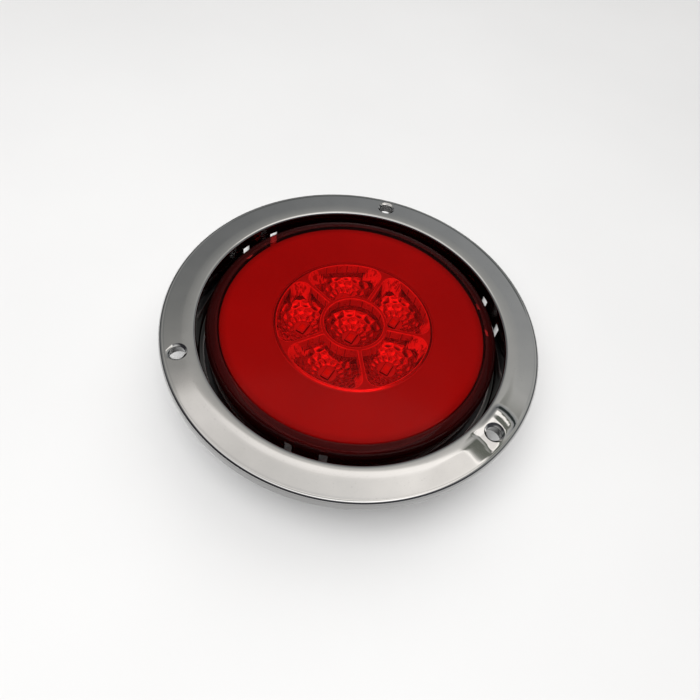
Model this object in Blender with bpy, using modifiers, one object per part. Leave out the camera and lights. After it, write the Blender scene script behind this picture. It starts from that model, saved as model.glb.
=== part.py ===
"""Round LED trailer tail light: a sealed stop and tail lamp in a chrome surface-mount flange.

Metres, +Z up.  The lamp's axis is Z, the lens faces +Z and the back of the housing
stands on z = 0.  The flange's three screw holes are at 90, 210 and 330 degrees.
"""
import math

import bmesh
import bpy
from mathutils import Matrix, Vector

MM = 0.001
MERGE = 0.00001                          # merge distance of every modifier that merges
GAP = 0.3 * MM                           # clearance between pieces that touch
REACH = 1.0 * MM                         # how far a cutter runs past what it cuts
SEGMENTS = 96                            # sides of the large turned parts
INNER_SEGMENTS = 72                      # sides of the turned parts inside the lamp
BOSS_SEGMENTS = 24                       # sides of the screw bosses and the capacitor
SMALL_SEGMENTS = 16                      # sides of screws, pins and posts

# ---- heights ---------------------------------------------------------------
FACE_Z = 33.0 * MM                       # front plane of the flange, outer edge
CROWN = 0.35 * MM                        # how much the flange's inner edge stands above it

# ---- chrome flange ---------------------------------------------------------
FLANGE_R = 70.0 * MM
FLANGE_WALL = 1.9 * MM
FLANGE_EDGE = 1.7 * MM                   # rounding of the outer edge
OPENING_R = 57.3 * MM                    # inside of the sleeve
OPENING_EDGE = 1.0 * MM                  # rounding of the inner edge
SKIRT_DROP = 4.8 * MM                    # depth of the outer skirt, the panel's plane
SLEEVE_WALL = 1.5 * MM
SLEEVE_DROP = 20.0 * MM
LEDGE_R = 55.5 * MM                      # inner edge of the ledge that the lamp bears on
LEDGE_DROP = 14.0 * MM
LEDGE_THICK = 1.6 * MM
HOLE_PITCH_R = 64.1 * MM
HOLE_R = 2.6 * MM
HOLE_CHAMFER = 0.3 * MM                  # depth of the 45 degree lip below the face's plane
BOSS_R = 4.7 * MM
BOSS_WELL_R = 3.5 * MM                   # inside of a boss, behind the plate that the screw bears on
HOLE_ANGLES = (90.0, 210.0, 330.0)
FINGER_ANGLES = (25.2, 145.2, 265.2)
SLOT_OFFSET = 7.0                        # degrees from a finger's middle to its slots
SLOT_WIDTH = 3.2 * MM
SLOT_TOP_DROP = 4.7 * MM
NUB_REACH = 0.4 * MM                     # how far a finger's nub stands in from the sleeve
NUB_WIDTH = 8.0 * MM
NUB_HEIGHT = 0.8 * MM
NUB_RISE = 0.6 * MM                      # from the sleeve's end to the nub's middle

# ---- lens ------------------------------------------------------------------
LENS_CROWN = 0.1 * MM                    # how far the lens's middle stands out of the flange
LENS_FACE_R = 50.0 * MM
LENS_FACE_DROP = 0.3 * MM
LENS_SHOULDER_R = 53.2 * MM
LENS_SHOULDER_DROP = 1.5 * MM
LENS_BREAK_R = 53.9 * MM                 # where the shoulder turns down into the edge
LENS_BREAK_DROP = 2.0 * MM
LENS_R = 54.2 * MM
LENS_EDGE_DROP = 2.9 * MM
LENS_PLATE = 0.9 * MM
LENS_WALL = 1.9 * MM
LENS_SKIRT_DROP = 14.0 * MM
LENS_STEPS = 3

# ---- housing ---------------------------------------------------------------
RIM_R = 56.6 * MM                        # the housing's flange, behind the ledge
RIM_DROP = LEDGE_DROP + LEDGE_THICK + GAP
RIM_THICK = 2.5 * MM
UPSTAND_R = LENS_R - LENS_WALL - GAP     # wall that the lens is welded round
UPSTAND_WALL = 1.8 * MM
UPSTAND_DROP = 10.6 * MM
BODY_R = 51.0 * MM
BODY_WALL = 2.2 * MM
FLOOR_THICK = 2.5 * MM
BACK_EDGE = 2.0 * MM
SEAL_HEIGHT = RIM_DROP - LENS_SKIRT_DROP - 2 * GAP
POST_PITCH_R = 42.0 * MM
POST_ANGLES = (45.0, 165.0, 285.0)
POST_R = 3.0 * MM
POST_BORE_R = 1.3 * MM
POST_BORE_DEPTH = 8.0 * MM

# ---- inside the lamp -------------------------------------------------------
BOARD_R = 47.8 * MM
BOARD_THICK = 1.6 * MM
BOARD_TOP_DROP = 11.4 * MM
DIFFUSER_R = 49.3 * MM
DIFFUSER_HOLE_R = 30.2 * MM
DIFFUSER_DROP = 1.5 * MM
DIFFUSER_THICK = 1.6 * MM
DIFFUSER_SKIRT = 1.4 * MM                # thickness of the ring's outer wall
REFLECTOR_R = 29.8 * MM
REFLECTOR_DROP = 1.25 * MM
REFLECTOR_WALL = 1.0 * MM
CUP_PITCH_R = 19.0 * MM
CUP_FIRST_ANGLE = 39.4
CUP_COUNT = 5                            # petal-shaped cups round the middle one
CUP_HOLE_R = 3.5 * MM                    # hole at a cup's foot, round its LED
CUP_MOUTH_R = 11.2 * MM                  # rim of the round cup in the middle
PETAL_MOUTH_R = 14.0 * MM                # mouth of the bowl that a petal cuts short
BOWL_STEPS = 3
BOWL_SEGMENTS = 24
PETAL_INNER_R = 12.4 * MM
PETAL_OUTER_R = 28.7 * MM
PETAL_HALF_GAP = 0.8 * MM                # half the rib between two petals
PETAL_CORNER = 4.2 * MM
PETAL_ARC_STEPS = 4
PETAL_CORNER_STEPS = 5
LED_WIDTH = 3.5 * MM
LED_LENGTH = 4.4 * MM
LED_HEIGHT = 0.8 * MM
LED_TURN = 71.0                          # direction of the packages' long side, degrees
PACKAGE_EDGE = 0.15 * MM                 # bevel of a moulded package
RING_LED_COUNT = 12
RING_LED_R = 40.0 * MM
RING_LED_FIRST = 0.0
RING_LED_SIZE = (2.8 * MM, 3.5 * MM, 0.7 * MM)
SCREW_SHANK_R = 1.0 * MM
SCREW_HEAD_R = 2.2 * MM
SCREW_HEAD_TOP_R = 1.3 * MM
SCREW_HEAD_HEIGHT = 1.4 * MM
SCREW_HEAD_SIDE = 0.6 * MM               # height of the head's upright side
SCREW_LENGTH = 8.0 * MM
BOARD_HOLE_R = 1.4 * MM

# ---- connector -------------------------------------------------------------
SOCKET_LENGTH = 25.0 * MM
SOCKET_WIDTH = 13.0 * MM
SOCKET_HEIGHT = 14.5 * MM
SOCKET_WALL = 2.0 * MM
SOCKET_FLOOR = 2.5 * MM
PIN_COUNT = 3
PIN_PITCH = 7.0 * MM
PIN_R = 1.0 * MM
PIN_CLEAR = 5.0 * MM                     # from the socket's mouth to the tips of the pins
PIN_TIP_R = 0.5 * MM

# ---- components under the board --------------------------------------------
CHIP_SIZE = (5.0 * MM, 6.0 * MM, 1.7 * MM)
CHIP_AT = (0.0, 20.0 * MM)
DIODE_SIZE = (5.6 * MM, 3.6 * MM, 2.2 * MM)
DIODES_AT = ((-16.0 * MM, 20.0 * MM), (16.0 * MM, 20.0 * MM))
RESISTOR_SIZE = (3.2 * MM, 1.6 * MM, 0.6 * MM)
RESISTORS_AT = tuple((x * MM, -18.0 * MM) for x in (-9.0, -3.0, 3.0, 9.0))
CAPACITOR_R = 3.2 * MM
CAPACITOR_HEIGHT = 7.0 * MM
CAPACITOR_AT = (24.0 * MM, -8.0 * MM)


def drop(distance):
    """Height above the table of something that is this far behind the flange's face."""
    return FACE_Z - distance


def polar(radius, angle, z=0.0):
    turn = math.radians(angle)
    return Vector((radius * math.cos(turn), radius * math.sin(turn), z))


# ---- scene helpers ---------------------------------------------------------
def clear_scene():
    for old in list(bpy.data.objects):
        bpy.data.objects.remove(old, do_unlink=True)


def new_collection(name):
    collection = bpy.data.collections.new(name)
    bpy.context.scene.collection.children.link(collection)
    return collection


def material(name, colour, roughness, metallic=0.0, transmission=0.0):
    result = bpy.data.materials.new(name)
    result.use_nodes = True
    shader = result.node_tree.nodes["Principled BSDF"]
    shader.inputs["Base Color"].default_value = (*colour, 1.0)
    shader.inputs["Roughness"].default_value = roughness
    shader.inputs["Metallic"].default_value = metallic
    shader.inputs["Transmission Weight"].default_value = transmission
    result.diffuse_color = (*colour, 1.0)
    return result


def add_object(name, mesh, look=None):
    """A visible piece, or a cutter when it has no look."""
    piece = bpy.data.objects.new(name, mesh)
    if look is None:
        piece.hide_render = True
        piece.display_type = "WIRE"
        CUTTERS.objects.link(piece)
    else:
        mesh.materials.append(look)
        PARTS.objects.link(piece)
    return piece


def smooth(piece, angle=35.0):
    piece.data.shade_smooth()
    piece.data.set_sharp_from_angle(angle=math.radians(angle))


def arc(centre_r, centre_z, radius, start, end, steps):
    """Points of a profile's rounding, from one direction to another in degrees."""
    points = []
    for step in range(steps + 1):
        turn = math.radians(start + (end - start) * step / steps)
        points.append((centre_r + radius * math.cos(turn), centre_z + radius * math.sin(turn)))
    return points


def turned(name, profile, segments, look=None, closed=True):
    """A profile in (radius, height) turned about Z by a Screw modifier."""
    mesh = bpy.data.meshes.new(name)
    shape = bmesh.new()
    points = [shape.verts.new((radius, 0.0, height)) for radius, height in profile]
    for first, second in zip(points, points[1:]):
        shape.edges.new((first, second))
    if closed:
        shape.edges.new((points[-1], points[0]))
    shape.to_mesh(mesh)
    shape.free()
    piece = add_object(name, mesh, look)
    screw = piece.modifiers.new("turn", "SCREW")
    screw.axis = "Z"
    screw.steps = segments
    screw.render_steps = segments
    screw.use_merge_vertices = True
    screw.merge_threshold = MERGE
    screw.use_smooth_shade = True
    return piece


def cylinder(
    name, radius, bottom, top, look=None, centre=(0.0, 0.0), segments=SMALL_SEGMENTS, top_radius=None
):
    """An upright cylinder, or a cone when it has a radius of its own at the top."""
    mesh = bpy.data.meshes.new(name)
    shape = bmesh.new()
    bmesh.ops.create_cone(
        shape,
        cap_ends=True,
        segments=segments,
        radius1=radius,
        radius2=radius if top_radius is None else top_radius,
        depth=top - bottom,
    )
    shape.to_mesh(mesh)
    shape.free()
    piece = add_object(name, mesh, look)
    piece.location = (centre[0], centre[1], (bottom + top) / 2)
    if look is not None:
        smooth(piece)
    return piece


def box(name, size, centre, look=None, turn=0.0, bevel=0.0):
    mesh = bpy.data.meshes.new(name)
    shape = bmesh.new()
    bmesh.ops.create_cube(shape, size=1.0)
    bmesh.ops.transform(shape, matrix=Matrix.Diagonal((*size, 1.0)), verts=shape.verts)
    shape.to_mesh(mesh)
    shape.free()
    piece = add_object(name, mesh, look)
    piece.location = centre
    piece.rotation_euler = (0.0, 0.0, math.radians(turn))
    if bevel:
        edges = piece.modifiers.new("edges", "BEVEL")
        edges.width = bevel
        edges.segments = 1
        edges.limit_method = "ANGLE"
    return piece


def boolean(piece, other, operation):
    step = piece.modifiers.new(operation.lower(), "BOOLEAN")
    step.operation = operation
    step.solver = "EXACT"
    step.object = other
    return step


def cut(piece, cutter):
    return boolean(piece, cutter, "DIFFERENCE")


def join(piece, other):
    return boolean(piece, other, "UNION")


# ---- chrome flange ---------------------------------------------------------
def make_flange():
    """The plated face: a ring with an outer skirt and a boss behind each screw hole."""
    top = drop(0.0)
    under = top - FLANGE_WALL
    skirt = drop(SKIRT_DROP)
    edge_r = FLANGE_R - FLANGE_EDGE
    profile = arc(OPENING_R + OPENING_EDGE, top + CROWN - OPENING_EDGE, OPENING_EDGE, 180.0, 90.0, 2)
    profile += arc(edge_r, top - FLANGE_EDGE, FLANGE_EDGE, 90.0, 0.0, 3)
    profile += [
        (FLANGE_R, skirt),
        (FLANGE_R - FLANGE_WALL, skirt),
        (FLANGE_R - FLANGE_WALL, under),
        (OPENING_R, under),
    ]
    flange = turned("chrome_flange", profile, SEGMENTS, CHROME)
    for index, angle in enumerate(HOLE_ANGLES):
        centre = polar(HOLE_PITCH_R, angle)
        placed = {"centre": centre, "segments": BOSS_SEGMENTS}
        lip_r = HOLE_R + HOLE_CHAMFER + REACH
        boss = cylinder(f"boss_{index + 1}", BOSS_R, skirt, under + GAP, **placed)
        bore = cylinder(f"bore_{index + 1}", HOLE_R, skirt - REACH, top + REACH, **placed)
        well = cylinder(f"well_{index + 1}", BOSS_WELL_R, skirt - REACH, under, **placed)
        lip = cylinder(
            f"lip_{index + 1}", HOLE_R, top - HOLE_CHAMFER, top + REACH, top_radius=lip_r, **placed
        )
        join(flange, boss)
        for cutter in (bore, well, lip):
            cut(flange, cutter)


def make_sleeve():
    """The flange's sleeve, with the ledge that stops the lamp and the three snap fingers."""
    top = drop(FLANGE_WALL) - GAP
    bottom = drop(SLEEVE_DROP)
    ledge_top = drop(LEDGE_DROP)
    ledge_under = ledge_top - LEDGE_THICK
    sleeve_r = OPENING_R + SLEEVE_WALL
    profile = [
        (OPENING_R, top),
        (sleeve_r, top),
        (sleeve_r, bottom),
        (OPENING_R, bottom),
        (OPENING_R, ledge_under),
        (LEDGE_R, ledge_under),
        (LEDGE_R, ledge_top),
        (OPENING_R, ledge_top),
    ]
    sleeve = turned("flange_sleeve", profile, SEGMENTS, CHROME)
    slot_height = SLEEVE_DROP - SLOT_TOP_DROP
    slot_size = (3 * (OPENING_R - LEDGE_R), SLOT_WIDTH, slot_height + REACH)
    slot_z = drop(SLOT_TOP_DROP) - slot_size[2] / 2
    slot_r = (LEDGE_R + sleeve_r) / 2
    for index, angle in enumerate(FINGER_ANGLES):
        for side, offset in (("a", -SLOT_OFFSET), ("b", SLOT_OFFSET)):
            slot_at = polar(slot_r, angle + offset, slot_z)
            slot = box(f"slot_{index + 1}{side}", slot_size, slot_at, turn=angle + offset)
            cut(sleeve, slot)
        nub_depth = NUB_REACH + SLEEVE_WALL / 2
        nub_at = polar(OPENING_R - NUB_REACH + nub_depth / 2, angle, bottom + NUB_RISE)
        nub = box(f"nub_{index + 1}", (nub_depth, NUB_WIDTH, NUB_HEIGHT), nub_at, turn=angle)
        join(sleeve, nub)


# ---- lens, seal, diffuser --------------------------------------------------
def lens_height(radius):
    """Height of the lens's outer face: a shallow crown that falls away to its edge."""
    fall = LENS_CROWN + LENS_FACE_DROP
    return drop(-LENS_CROWN) - fall * (radius / LENS_FACE_R) ** 2


def make_lens():
    crown = [LENS_FACE_R * step / LENS_STEPS for step in range(LENS_STEPS + 1)]
    profile = [(radius, lens_height(radius)) for radius in crown]
    profile += [
        (LENS_SHOULDER_R, drop(LENS_SHOULDER_DROP)),
        (LENS_BREAK_R, drop(LENS_BREAK_DROP)),
        (LENS_R, drop(LENS_EDGE_DROP)),
        (LENS_R, drop(LENS_SKIRT_DROP)),
        (LENS_R - LENS_WALL, drop(LENS_SKIRT_DROP)),
        (LENS_R - LENS_WALL, drop(LENS_EDGE_DROP + LENS_PLATE)),
    ]
    profile += [(radius, lens_height(radius) - LENS_PLATE) for radius in reversed(crown)]
    turned("lens", profile, SEGMENTS, RED_LENS, closed=False)


def make_seal():
    bottom = drop(RIM_DROP) + GAP
    top = bottom + SEAL_HEIGHT
    profile = [
        (LENS_R, top),
        (LENS_R, bottom),
        (LENS_R - LENS_WALL, bottom),
        (LENS_R - LENS_WALL, top),
    ]
    turned("lens_seal", profile, INNER_SEGMENTS, RUBBER)


def make_diffuser():
    """Opal ring behind the lens, with an outer wall that stands on the circuit board."""
    top = drop(DIFFUSER_DROP)
    under = top - DIFFUSER_THICK
    board = drop(BOARD_TOP_DROP) + GAP
    wall_r = BOARD_R - GAP
    profile = [
        (DIFFUSER_HOLE_R, top),
        (DIFFUSER_R, top),
        (DIFFUSER_R, under),
        (wall_r, under),
        (wall_r, board),
        (wall_r - DIFFUSER_SKIRT, board),
        (wall_r - DIFFUSER_SKIRT, under),
        (DIFFUSER_HOLE_R, under),
    ]
    turned("glow_ring_diffuser", profile, INNER_SEGMENTS, OPAL)


# ---- reflector -------------------------------------------------------------
def petal_angles():
    """Directions of the petal-shaped cups round the middle one, in degrees."""
    return [CUP_FIRST_ANGLE + index * 360.0 / CUP_COUNT for index in range(CUP_COUNT)]


def cup_places():
    """Middles of the cups: the round one first, then the petals."""
    return [Vector()] + [polar(CUP_PITCH_R, angle) for angle in petal_angles()]


def bowl_profile(mouth_r, bottom, top, wall=0.0, reach=0.0):
    """Outer side of a parabolic bowl, from its mouth down to the hole at its foot.

    The reach runs the mouth and the foot straight on past the bowl's ends.
    """
    points = [(0.0, top + reach)]
    if reach:
        points.append((mouth_r + wall, top + reach))
    for step in range(BOWL_STEPS, -1, -1):
        share = step / BOWL_STEPS
        radius = math.sqrt(CUP_HOLE_R**2 + (mouth_r**2 - CUP_HOLE_R**2) * share)
        points.append((radius + wall, bottom + (top - bottom) * share))
    if reach:
        points.append((CUP_HOLE_R + wall, bottom - reach))
    points.append((0.0, bottom - reach))
    return points


def petal_outline():
    """Half of a petal's outline about the X axis, as (x, y) from its outer middle inwards."""
    half_turn = math.pi / CUP_COUNT
    corner_r = PETAL_OUTER_R - PETAL_CORNER
    corner_turn = half_turn - math.asin((PETAL_HALF_GAP + PETAL_CORNER) / corner_r)
    inner_turn = half_turn - math.asin(PETAL_HALF_GAP / PETAL_INNER_R)
    points = []
    for step in range(PETAL_ARC_STEPS):
        turn = corner_turn * step / PETAL_ARC_STEPS
        points.append((PETAL_OUTER_R * math.cos(turn), PETAL_OUTER_R * math.sin(turn)))
    centre = (corner_r * math.cos(corner_turn), corner_r * math.sin(corner_turn))
    side_turn = half_turn + math.pi / 2
    for step in range(PETAL_CORNER_STEPS + 1):
        turn = corner_turn + (side_turn - corner_turn) * step / PETAL_CORNER_STEPS
        x = centre[0] + PETAL_CORNER * math.cos(turn)
        y = centre[1] + PETAL_CORNER * math.sin(turn)
        points.append((x, y))
    for step in range(PETAL_ARC_STEPS + 1):
        turn = inner_turn * (1 - step / PETAL_ARC_STEPS)
        points.append((PETAL_INNER_R * math.cos(turn), PETAL_INNER_R * math.sin(turn)))
    return points


def petal_prism(name, angle, bottom, top):
    """Upright prism on a petal's outline, which keeps a cup inside its petal."""
    half = petal_outline()
    outline = half + [(x, -y) for x, y in reversed(half[1:-1])]
    mesh = bpy.data.meshes.new(name)
    shape = bmesh.new()
    face = shape.faces.new([shape.verts.new((x, y, bottom)) for x, y in outline])
    grown = bmesh.ops.extrude_face_region(shape, geom=[face])
    risen = [item for item in grown["geom"] if isinstance(item, bmesh.types.BMVert)]
    bmesh.ops.translate(shape, verts=risen, vec=(0.0, 0.0, top - bottom))
    bmesh.ops.recalc_face_normals(shape, faces=shape.faces)
    shape.to_mesh(mesh)
    shape.free()
    prism = add_object(name, mesh)
    prism.rotation_euler = (0.0, 0.0, math.radians(angle))
    return prism


def make_cup(index, place, bottom, top):
    """A cup's shell and the hollow that opens it, round for the first and a petal for the rest."""
    is_petal = index > 0
    mouth = PETAL_MOUTH_R if is_petal else CUP_MOUTH_R
    shell_profile = bowl_profile(mouth, bottom, top - GAP, REFLECTOR_WALL)
    hollow_profile = bowl_profile(mouth, bottom, top, reach=REACH)
    shell = turned(f"cup_shell_{index}", shell_profile, BOWL_SEGMENTS, closed=False)
    hollow = turned(f"cup_hollow_{index}", hollow_profile, BOWL_SEGMENTS, closed=False)
    shell.location = place
    hollow.location = place
    if is_petal:
        angle = petal_angles()[index - 1]
        prism = petal_prism(f"petal_{index}", angle, bottom - 2 * REACH, top + 2 * REACH)
        boolean(hollow, prism, "INTERSECT")
    return shell, hollow


def make_reflector():
    """A plate with a round cup in the middle and five petal-shaped ones round it."""
    top = drop(REFLECTOR_DROP)
    bottom = drop(BOARD_TOP_DROP) + GAP
    under = top - REFLECTOR_WALL
    sides = {"segments": INNER_SEGMENTS}
    reflector = cylinder("reflector", REFLECTOR_R + REACH, under, top, METALLISED, **sides)
    limit = cylinder("reflector_limit", REFLECTOR_R, bottom - REACH, top + REACH, **sides)
    cups = [make_cup(index, place, bottom, top) for index, place in enumerate(cup_places())]
    for shell, _ in cups:
        join(reflector, shell)
    boolean(reflector, limit, "INTERSECT")
    hollows = [hollow for _, hollow in cups]
    for hollow in hollows[1:]:
        join(hollows[0], hollow)
    cut(reflector, hollows[0])


# ---- housing, board and connector ------------------------------------------
def make_housing():
    rim_top = drop(RIM_DROP)
    rim_under = rim_top - RIM_THICK
    upstand_top = drop(UPSTAND_DROP)
    inner_r = BODY_R - BODY_WALL
    profile = [
        (UPSTAND_R - UPSTAND_WALL, upstand_top),
        (UPSTAND_R, upstand_top),
        (UPSTAND_R, rim_top),
        (RIM_R, rim_top),
        (RIM_R, rim_under),
        (BODY_R, rim_under),
        (BODY_R, BACK_EDGE),
        (BODY_R - BACK_EDGE, 0.0),
        (0.0, 0.0),
        (0.0, FLOOR_THICK),
        (inner_r, FLOOR_THICK),
        (inner_r, rim_under),
        (UPSTAND_R - UPSTAND_WALL, rim_top),
    ]
    housing = turned("housing", profile, INNER_SEGMENTS, BLACK_PLASTIC)
    post_top = drop(BOARD_TOP_DROP + BOARD_THICK) - GAP
    for index, angle in enumerate(POST_ANGLES):
        centre = polar(POST_PITCH_R, angle)
        post = cylinder(f"post_{index + 1}", POST_R, FLOOR_THICK - REACH, post_top, centre=centre)
        bore_bottom = post_top - POST_BORE_DEPTH
        bore_top = post_top + REACH
        bore = cylinder(f"post_bore_{index + 1}", POST_BORE_R, bore_bottom, bore_top, centre=centre)
        join(housing, post)
        cut(housing, bore)
    opening_size = (SOCKET_LENGTH + 2 * GAP, SOCKET_WIDTH + 2 * GAP, FLOOR_THICK + 2 * REACH)
    cut(housing, box("socket_opening", opening_size, (0.0, 0.0, FLOOR_THICK / 2)))


def make_socket():
    """Connector shroud, open at the back of the housing, with three pins in its floor."""
    socket = box(
        "connector_socket",
        (SOCKET_LENGTH, SOCKET_WIDTH, SOCKET_HEIGHT),
        (0.0, 0.0, SOCKET_HEIGHT / 2),
        BLACK_PLASTIC,
    )
    depth = SOCKET_HEIGHT - SOCKET_FLOOR
    hollow_size = (SOCKET_LENGTH - 2 * SOCKET_WALL, SOCKET_WIDTH - 2 * SOCKET_WALL, depth + REACH)
    cut(socket, box("socket_hollow", hollow_size, (0.0, 0.0, (depth - REACH) / 2)))
    pin_top = drop(BOARD_TOP_DROP + BOARD_THICK) - GAP
    bore_span = (depth - REACH, SOCKET_HEIGHT + REACH)
    for index in range(PIN_COUNT):
        x = (index - (PIN_COUNT - 1) / 2) * PIN_PITCH
        cut(socket, cylinder(f"pin_bore_{index + 1}", PIN_R + GAP, *bore_span, centre=(x, 0.0)))
        profile = [
            (0.0, pin_top),
            (PIN_R, pin_top),
            (PIN_R, PIN_CLEAR + 2 * PIN_TIP_R),
            (PIN_TIP_R, PIN_CLEAR),
            (0.0, PIN_CLEAR),
        ]
        pin = turned(f"terminal_{index + 1}", profile, SMALL_SEGMENTS, BRASS, closed=False)
        pin.location = (x, 0.0, 0.0)


def make_board():
    top = drop(BOARD_TOP_DROP)
    under = top - BOARD_THICK
    board = cylinder("circuit_board", BOARD_R, under, top, BOARD_WHITE, segments=INNER_SEGMENTS)
    head_under = top + GAP
    profile = [
        (0.0, head_under + SCREW_HEAD_HEIGHT),
        (SCREW_HEAD_TOP_R, head_under + SCREW_HEAD_HEIGHT),
        (SCREW_HEAD_R, head_under + SCREW_HEAD_SIDE),
        (SCREW_HEAD_R, head_under),
        (SCREW_SHANK_R, head_under),
        (SCREW_SHANK_R, head_under - SCREW_LENGTH),
        (0.0, head_under - SCREW_LENGTH),
    ]
    for index, angle in enumerate(POST_ANGLES):
        centre = polar(POST_PITCH_R, angle)
        hole_span = (under - REACH, top + REACH)
        cut(board, cylinder(f"board_hole_{index + 1}", BOARD_HOLE_R, *hole_span, centre=centre))
        screw = turned(f"board_screw_{index + 1}", profile, SMALL_SEGMENTS, STEEL, closed=False)
        screw.location = centre


def make_leds():
    bottom = drop(BOARD_TOP_DROP) + GAP
    size = (LED_LENGTH, LED_WIDTH, LED_HEIGHT)
    for index, place in enumerate(cup_places()):
        centre = (place.x, place.y, bottom + LED_HEIGHT / 2)
        box(f"cup_led_{index + 1}", size, centre, LED_BODY, LED_TURN, PACKAGE_EDGE)
    for index in range(RING_LED_COUNT):
        angle = RING_LED_FIRST + index * 360.0 / RING_LED_COUNT
        centre = polar(RING_LED_R, angle, bottom + RING_LED_SIZE[2] / 2)
        box(f"ring_led_{index + 1}", RING_LED_SIZE, centre, LED_BODY, angle)


def make_components():
    """Driver parts on the back of the board."""
    under = drop(BOARD_TOP_DROP + BOARD_THICK) - GAP
    chip_at = (*CHIP_AT, under - CHIP_SIZE[2] / 2)
    box("driver_chip", CHIP_SIZE, chip_at, COMPONENT, bevel=PACKAGE_EDGE)
    for index, place in enumerate(DIODES_AT):
        centre = (*place, under - DIODE_SIZE[2] / 2)
        box(f"diode_{index + 1}", DIODE_SIZE, centre, COMPONENT, bevel=PACKAGE_EDGE)
    for index, place in enumerate(RESISTORS_AT):
        centre = (*place, under - RESISTOR_SIZE[2] / 2)
        box(f"resistor_{index + 1}", RESISTOR_SIZE, centre, COMPONENT, 90.0)
    bottom = under - CAPACITOR_HEIGHT
    cylinder("capacitor", CAPACITOR_R, bottom, under, ALUMINIUM, CAPACITOR_AT, BOSS_SEGMENTS)


clear_scene()
PARTS = new_collection("trailer_tail_light")
CUTTERS = new_collection("cutters")
CHROME = material("chrome_plate", (0.75, 0.75, 0.76), 0.08, 1.0)
RED_LENS = material("red_lens", (0.55, 0.01, 0.01), 0.06, 0.0, 0.6)
OPAL = material("opal_diffuser", (0.85, 0.80, 0.78), 0.5)
METALLISED = material("metallised_plastic", (0.85, 0.85, 0.86), 0.12, 1.0)
BLACK_PLASTIC = material("black_plastic", (0.02, 0.02, 0.022), 0.45)
RUBBER = material("seal_rubber", (0.015, 0.015, 0.016), 0.7)
BOARD_WHITE = material("board_solder_mask", (0.80, 0.80, 0.78), 0.4)
LED_BODY = material("led_package", (0.80, 0.74, 0.35), 0.35)
COMPONENT = material("component_epoxy", (0.03, 0.03, 0.03), 0.5)
ALUMINIUM = material("capacitor_can", (0.70, 0.70, 0.72), 0.3, 1.0)
BRASS = material("tinned_brass", (0.72, 0.62, 0.38), 0.25, 1.0)
STEEL = material("zinc_plated_steel", (0.60, 0.60, 0.62), 0.3, 1.0)

make_flange()
make_sleeve()
make_lens()
make_seal()
make_diffuser()
make_reflector()
make_housing()
make_socket()
make_board()
make_leds()
make_components()
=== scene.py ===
"""Looks of the round LED trailer tail light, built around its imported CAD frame.

Metres, +Z up.  The lamp's axis is Z and the flange's screw holes are at 90, 210 and 330 degrees.
"""
import math

import bmesh
import bpy
import numpy as np
from mathutils import Matrix, Vector
from mathutils.geometry import delaunay_2d_cdt


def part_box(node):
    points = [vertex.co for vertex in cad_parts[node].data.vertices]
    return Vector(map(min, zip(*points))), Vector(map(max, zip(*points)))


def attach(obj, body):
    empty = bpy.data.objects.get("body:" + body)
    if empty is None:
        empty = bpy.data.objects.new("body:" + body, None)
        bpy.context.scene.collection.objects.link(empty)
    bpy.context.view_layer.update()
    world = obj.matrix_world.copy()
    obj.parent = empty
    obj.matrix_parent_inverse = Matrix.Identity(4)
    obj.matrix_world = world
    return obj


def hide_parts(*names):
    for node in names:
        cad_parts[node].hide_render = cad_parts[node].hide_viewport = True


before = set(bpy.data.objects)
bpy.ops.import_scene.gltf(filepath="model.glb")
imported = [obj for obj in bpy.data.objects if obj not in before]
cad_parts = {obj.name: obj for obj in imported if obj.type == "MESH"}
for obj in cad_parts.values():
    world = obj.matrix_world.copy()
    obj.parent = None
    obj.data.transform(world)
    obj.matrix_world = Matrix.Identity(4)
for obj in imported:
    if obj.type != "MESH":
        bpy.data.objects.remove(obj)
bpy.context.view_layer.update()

MM = 0.001
SEGMENTS = 288                       # sides of the large turned pieces
FINE_SEGMENTS = 48                   # sides of small round details
SHARP_ANGLE = 35.0                   # edges that bend more than this stay sharp, degrees


# ---- places, from the frame ----
def low(node):
    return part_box(node)[0]


def high(node):
    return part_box(node)[1]


def middle(node):
    return (low(node) + high(node)) / 2


FLANGE_R = high("chrome_flange").x
SKIRT_Z = low("chrome_flange").z
CROWN = 0.35 * MM                    # the CAD face's inner edge stands this much above its outer one
FACE_Z = high("chrome_flange").z - CROWN
SLEEVE_R = high("flange_sleeve").x
SLEEVE_Z = low("flange_sleeve").z
SLEEVE_WALL = 1.5 * MM
OPENING_R = SLEEVE_R - SLEEVE_WALL
LEDGE_R = 55.5 * MM                  # inner edge of the ledge in the sleeve
LEDGE_Z = FACE_Z - 14.0 * MM
LEDGE_THICK = 1.6 * MM
HOLE_R = 2.6 * MM
WELL_R = 3.5 * MM                    # inside of a screw boss, below the face's plate
BOSS_R = 4.7 * MM
HOLE_PITCH_R = 64.1 * MM
HOLE_ANGLES = (90.0, 210.0, 330.0)
FINGER_ANGLES = (25.2, 145.2, 265.2)
SLOT_OFFSET = 7.0                    # degrees from a snap finger's middle to its slots
SLOT_WIDTH = 3.2 * MM
SLOT_TOP_Z = FACE_Z - 4.7 * MM

LENS_R = high("lens").x
LENS_TOP = high("lens").z
LENS_BOTTOM = low("lens").z
RING_R = high("glow_ring_diffuser").x
RING_TOP = high("glow_ring_diffuser").z
RING_BOTTOM = low("glow_ring_diffuser").z
RING_HOLE_R = 30.2 * MM
PLATE_R = high("reflector").x
PLATE_TOP = high("reflector").z
FOOT_Z = low("reflector").z
CUP_PITCH_R = 19.0 * MM
CUP_ANGLES = [39.4 + 72.0 * index for index in range(5)]


def polar(radius, angle, z=0.0):
    turn = math.radians(angle)
    return Vector((radius * math.cos(turn), radius * math.sin(turn), z))


# ---- mesh helpers ----
def shade(mesh, sharp=SHARP_ANGLE):
    mesh.shade_smooth()
    mesh.set_sharp_from_angle(angle=math.radians(sharp))


def new_object(name, data):
    made = bpy.data.objects.new(name, data)
    bpy.context.scene.collection.objects.link(made)
    return made


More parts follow.
